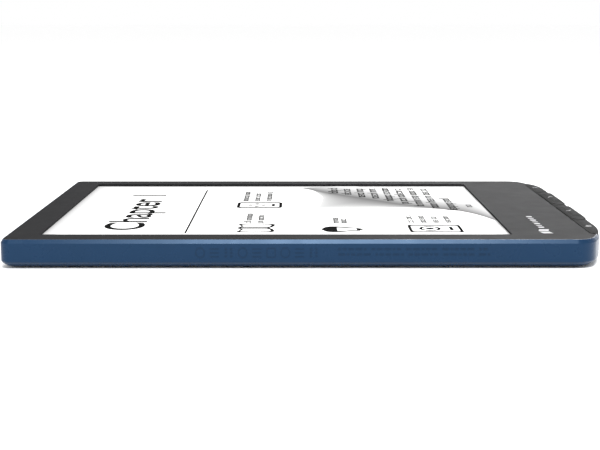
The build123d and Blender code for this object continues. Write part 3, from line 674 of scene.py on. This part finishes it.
def add_tile(shape, x_low, x_high, y_low, y_high):
    """Adds a thin closed tile between pairs of coordinates in millimetres."""
    corners = [(x_low, y_low), (x_high, y_low), (x_high, y_high), (x_low, y_high)]
    low = [shape.verts.new((x * MM, y * MM, INK_Z)) for x, y in corners]
    high = [shape.verts.new((x * MM, y * MM, INK_Z + PRINT_T)) for x, y in corners]
    shape.faces.new(low[::-1])
    shape.faces.new(high)
    for i in range(4):
        j = (i + 1) % 4
        shape.faces.new((low[i], low[j], high[j], high[i]))


def reader_icon():
    """A small reader with a pattern of dots on its screen and one key."""
    x, y = 6, 14.6
    around = ((0, 2.0), (0, -2.0), (2.0, 0), (-2.0, 0))
    dots = [ellipse(x + dx, y + dy, 0.9, 0.75, 16) for dx, dy in around]
    dots += [ellipse(x, y + dy, 0.6, 0.8, 12) for dy in (4.0, -3.8)]
    screen_piece("reader_icon", [
        rounded_box(0.6, 11.4, 7, 20.6, 1.5), rounded_box(2.0, 10.0, 7.9, 19.7, 0.8),
        rounded_box(3.9, 8.1, 9.2, 10.1, 0.4), *dots,
    ])


def book_icon():
    """An open book: two pages that meet at a spine."""
    page = smooth_line([(0.1, 10), (2.5, 8.8), (6.2, 9.4), (6.2, 18.0), (2.5, 17.6), (0.1, 18.8)], 6)
    spine, middle = -33, 13.8
    inside = [(0.9 + 0.7 * x, middle + 0.82 * (y - middle)) for x, y in page]
    outlines = [[(spine + side * x, y) for x, y in line] for side in (-1, 1) for line in (page, inside)]
    screen_piece("book_icon", outlines)


def lamp_icon():
    """A lamp with its round end dark and a collar across its neck."""
    half = [(0, 7.0), (3.6, 5.4), (4.2, 2.6), (2.6, -1.4), (2.0, -4.2), (0, -5.2)]
    outer = smooth_line(half, 6)
    inner = smooth_line([(x * 0.62, y * 0.84) for x, y in half], 6)
    centre_x, centre_y, dark_from = -35, -11, -8.6
    rings = []
    for line in (outer, inner):
        right = [(centre_x + x, centre_y + y) for x, y in line]
        left = [(centre_x - x, centre_y + y) for x, y in line[-2:0:-1]]
        rings.append(right + left)
    dark = [(x, y) for x, y in rings[1] if y > dark_from]
    screen_piece("lamp_icon", [*rings, rounded_box(-36.6, -33.4, -14.4, -13.6, 0.3)])
    screen_piece("lamp_icon_dark", [dark], z=INK_Z + PRINT_T + LAYER)


def panel_icon():
    """A wide panel with a ring in it and a bar near one end."""
    x, y = -34, -33.4
    screen_piece("panel_icon", [
        rounded_box(-39.7, -28.2, -42, -27.7, 1.2), rounded_box(-38.3, -29.6, -41.2, -28.5, 0.7),
        ellipse(x, y, 3.4, 2.9), ellipse(x, y, 2.3, 2.1), ellipse(x, y, 1.2, 1.1, 20),
        rounded_box(-36.6, -31.4, -39.6, -38.7, 0.35),
    ])


# Heights of the small letters in millimetres, and what their random draws start from
CAPTION_HEIGHT = 1.5
TEXT_HEIGHT, TEXT_SEED = 2.1, 11
NUMBER_HEIGHT, NUMBER_SEED = 1.6, 12


def captions():
    """Small text beside each icon: where it starts, and each row's length and baseline."""
    blocks = [
        ("reader_caption", 13.5, [(20.5, 17.6), (17.5, 14.0), (20.5, 10.4)]),
        ("book_caption", -25.0, [(17.5, 15.2), (13.0, 11.8)]),
        ("light_caption", -26.0, [(9.5, -9.2), (9.0, -11.4)]),
        ("panel_caption", -25.0, [(13.0, -30.1), (14.5, -33.6), (12.5, -37.1), (11.0, -40.6)]),
    ]
    for seed, (name, start, rows) in enumerate(blocks):
        lines = [(start, start + length, base) for length, base in rows]
        greek_lines(name, lines, CAPTION_HEIGHT, grey_ink, seed)


# The turned page, in millimetres: where it folds, its outer edge from one end of the fold to the
# other, and the rest of its lower edge
FOLD_LINE = [
    (41.7, 1.2), (32.8, -6.0), (23.2, -14.7), (15.2, -22.3), (7.2, -29.5), (-0.4, -40.3), (-4.6, -45.1),
]
SHEET_EDGE = [
    (41.65, 1.55), (37.1, -2.7), (28.6, -4.6), (20.5, -5.7), (9.0, -4.9), (1.5, -4.0),
    (2.3, -21.4), (0.8, -30.9), (-0.4, -36.5), (-4.8, -45.1),
]
LOW_EDGE = [(-12.2, -50.0), (-20.9, -53.3)]
PAGE_POINTS = 60  # points along each of the page's lines
PAGE_MARGIN = 0.15  # from the page's shade to the opening's edge
SHADE_REACH = 12  # how far the shade runs across the page below, in x and in y


def resample(points, count=PAGE_POINTS):
    """Evenly spaced points along a line."""
    lengths = [0.0]
    for a, b in zip(points, points[1:]):
        lengths.append(lengths[-1] + math.dist(a, b))
    result = []
    for i in range(count):
        target = lengths[-1] * i / (count - 1)
        k = max(j for j in range(len(points) - 1) if lengths[j] <= target)
        share = (target - lengths[k]) / (lengths[k + 1] - lengths[k])
        result.append(between(points[k], points[k + 1], share))
    return result


def kept_inside(points):
    """Points moved back to the screen's opening where they would leave it."""
    side, bottom = window_half_width / MM - PAGE_MARGIN, window_bottom / MM + PAGE_MARGIN
    return [(min(max(x, -side), side), max(y, bottom)) for x, y in points]


def turned_page():
    """The page that lifts off: its shaded underside, and the shade it throws on the page below."""
    fold = resample(smooth_line(FOLD_LINE))
    edge = resample(SHEET_EDGE)
    underside = across_strip("page_underside", [
        (0.0, page_grey(118)), (0.12, page_grey(138)), (0.45, page_grey(170)), (0.8, page_grey(198)),
        (1.0, page_grey(216)),
    ])
    shadow = across_strip("page_shadow", [
        (0.0, page_grey(128)), (0.25, page_grey(168)), (0.6, page_grey(206)), (1.0, page_grey(246)),
    ])
    strip_between("turned_page", fold, edge, PICTURE_Z, underside)
    lifted = resample(smooth_line(FOLD_LINE + LOW_EDGE), 2 * PAGE_POINTS)
    beyond = kept_inside([(x + SHADE_REACH, y - SHADE_REACH) for x, y in lifted])
    strip_between("page_below_shade", lifted, beyond, PICTURE_Z, shadow)


def page_below():
    """The text of the page below the turned one."""
    starts = [30.0, 27.3, 21.8, 19.2, 14.0, 8.9, 4.0, 0.4]
    line_end, first_baseline, line_pitch = 41.5, -10.8, 4.2
    lines = [(start, line_end, first_baseline - line_pitch * i) for i, start in enumerate(starts)]
    lines.append((-3.5, 22.5, -45.1))
    greek_lines("page_below_text", lines, TEXT_HEIGHT, black_ink, TEXT_SEED)
    greek_lines("page_below_number", [(2.0, 7.5, -50.2)], NUMBER_HEIGHT, grey_ink, NUMBER_SEED)


# ---------------------------------------------------------------- marks on the plastic
def frame_marks():
    """A small open book and a row of bars on the frame."""
    z = frame_high.z + LAYER
    book = [[(-44.8, -64.4), (-42.4, -63.8), (-42.4, -61.2), (-44.8, -61.8)],
            [(-41.4, -63.8), (-39.0, -64.4), (-39.0, -61.8), (-41.4, -61.2)]]
    bars, x, bar_gap = [], -36.6, 1.5
    for width in (1.6, 1.0, 1.5, 0.9, 1.8, 1.1, 1.4):
        bars.append(rounded_box(x, x + width, -63.8, -62.2, 0.4, 4))
        x += width + bar_gap
    finish_piece(flat_curve("frame_marks", book + bars, z), frame_ink, "case")


# The side wall's marks, in millimetres along the wall and up it
SIGN_START, SIGN_PITCH, SIGN_LEVEL = -27.0, 3.6, 4.3
ROW_START, ROW_BARS, ROW_LEVELS = 8.0, 22, (5.3, 3.9)
ROW_WORD = 5  # bars from one wider gap to the next
BAR_GAP, WORD_BAR_GAP = 0.4, 1.2


def side_sign(kind, u):
    """One plain sign, centred u along the wall."""
    v = SIGN_LEVEL
    if kind == "ring":
        return [ellipse(u, v, 1.25, 1.4), ellipse(u, v, 0.95, 1.1)]
    if kind == "bars":
        return [rounded_box(u - 1.2, u + 1.2, v - 0.2 + d, v + 0.15 + d, 0.15, 3) for d in (-1.0, 0.0, 1.0)]
    if kind == "box":
        outer = rounded_box(u - 1.2, u + 1.2, v - 1.3, v + 1.3, 0.3)
        return [outer, rounded_box(u - 0.9, u + 0.9, v - 1.0, v + 1.0, 0.15)]
    return [ellipse(u + dx, v + dy, 0.35, 0.35, 16) for dx in (-0.7, 0.7) for dy in (-0.9, 0.0, 0.9)]


def side_marks():
    """A line of plain signs, then two rows of small bars, moulded on the -X wall."""
    outlines = []
    for i, kind in enumerate(("ring", "bars", "dots", "ring", "bars", "box", "ring", "bars", "dots")):
        outlines += side_sign(kind, SIGN_START + SIGN_PITCH * i)
    for row, level in enumerate(ROW_LEVELS):
        u = ROW_START
        for i in range(ROW_BARS):
            width = 0.7 + 0.35 * ((i * 5 + row * 3) % 4)
            outlines.append(rounded_box(u, u + width, level - 0.35, level + 0.25, 0.1, 2))
            u += width + (WORD_BAR_GAP if i % ROW_WORD == ROW_WORD - 1 else BAR_GAP)
    piece = flat_curve("side_marks", outlines, 0.0)
    for vert in piece.data.vertices:
        u, v, out = vert.co
        vert.co = (case_low.x - LAYER / 2 - out, -u, v)
    finish_piece(piece, side_ink, "case")


KEY_ICON_Y = -75.6  # millimetres
ICON_LIFT = 1.5 * LAYER


def on_surface(obj, node):
    """Lays a flat piece, drawn at z = 0, just above the node's upper surface."""
    from_above = 2 * frame_high.z
    target = frame["nodes"][node]
    tree = BVHTree.FromObject(target, bpy.context.evaluated_depsgraph_get())
    for vert in obj.data.vertices:
        start = target.matrix_world.inverted() @ Vector((vert.co.x, vert.co.y, from_above))
        hit = tree.ray_cast(start, Vector((0, 0, -1)))[0]
        vert.co.z += (target.matrix_world @ hit).z + ICON_LIFT


def key_icons():
    """A house, two arrowheads and three bars, printed one to a key."""
    house = [(-1.0, -0.7), (1.0, -0.7), (1.0, 0.2), (0.0, 0.9), (-1.0, 0.2)]
    door = [(-0.3, -0.55), (0.3, -0.55), (0.3, 0.0), (-0.3, 0.0)]
    back = [(0.5, -0.8), (0.9, -0.55), (0.05, 0.0), (0.9, 0.55), (0.5, 0.8), (-0.75, 0.0)]
    forward = [(-0.5, -0.8), (0.75, 0.0), (-0.5, 0.8), (-0.9, 0.55), (-0.05, 0.0), (-0.9, -0.55)]
    bars = [rounded_box(-1.0, 1.0, d - 0.13, d + 0.13, 0.1, 3) for d in (-0.6, 0.0, 0.6)]
    icons = {
        "home_key": (-36.0, [house, door]),
        "back_key": (-13.0, [back]),
        "forward_key": (13.0, [forward]),
        "menu_key": (36.0, bars),
    }
    for key, (x, outlines) in icons.items():
        moved = [[(x + dx, KEY_ICON_Y + dy) for dx, dy in outline] for outline in outlines]
        icon = flat_curve(key + "_icon", moved, 0.0)
        on_surface(icon, key)
        finish_piece(icon, key_ink, key)


def main():
    dress_frame()
    heading()
    heading_rule()
    reader_icon()
    book_icon()
    lamp_icon()
    panel_icon()
    captions()
    turned_page()
    page_below()
    frame_marks()
    side_marks()
    key_icons()


main()

# ---------------------------------------------------------------- camera, lights, floor
# The eye is level with the body's middle, out from its -X side and a little above it
CAMERA_PLACE = (-0.3456, 0.00205, 0.0633)
CAMERA_DOWN, CAMERA_TURN = 10.082, 0.0735  # degrees
CAMERA_LENS = 70.45
CAMERA_NEAR = 0.01
FLOOR_HALF = 8.0

camera_data = bpy.data.cameras.new("camera")
camera_data.lens = CAMERA_LENS
camera_data.clip_start = CAMERA_NEAR
camera = bpy.data.objects.new("camera", camera_data)
camera.location = CAMERA_PLACE
camera.rotation_euler = Euler((math.radians(90 - CAMERA_DOWN), 0, math.radians(-90 - CAMERA_TURN)))
bpy.context.collection.objects.link(camera)
bpy.context.scene.camera = camera


def area_light(name, location, size, energy):
    """A rectangular light that faces the body."""
    data = bpy.data.lights.new(name, "AREA")
    data.shape = "RECTANGLE"
    data.size, data.size_y = size
    data.energy = energy
    light = bpy.data.objects.new(name, data)
    light.location = location
    light.rotation_euler = (-Vector(location)).to_track_quat("-Z", "Y").to_euler()
    bpy.context.collection.objects.link(light)


area_light("rim_light", (-0.50, -0.04, 0.75), (0.34, 0.14), 8.0)
area_light("side_light", (0.65, -0.30, 0.30), (0.5, 0.25), 2.6)

floor_mesh = bpy.data.meshes.new("floor")
floor_corners = [(x * FLOOR_HALF, y * FLOOR_HALF, 0) for x, y in ((-1, -1), (1, -1), (1, 1), (-1, 1))]
floor_mesh.from_pydata(floor_corners, [], [(0, 1, 2, 3)])
floor = bpy.data.objects.new("floor", floor_mesh)
bpy.context.collection.objects.link(floor)
floor_nodes = Nodes("floor")
floor_nodes.set(Base_Color=(0.99, 0.99, 0.99, 1), Roughness=1.0, IOR=1.1)
floor.data.materials.append(floor_nodes.material)

world = bpy.data.worlds.new("studio")
bpy.context.scene.world = world
world.use_nodes = True
world.node_tree.nodes["Background"].inputs["Color"].default_value = (1, 1, 1, 1)
world.node_tree.nodes["Background"].inputs["Strength"].default_value = 1.0
bpy.context.scene.view_settings.view_transform = "Standard"
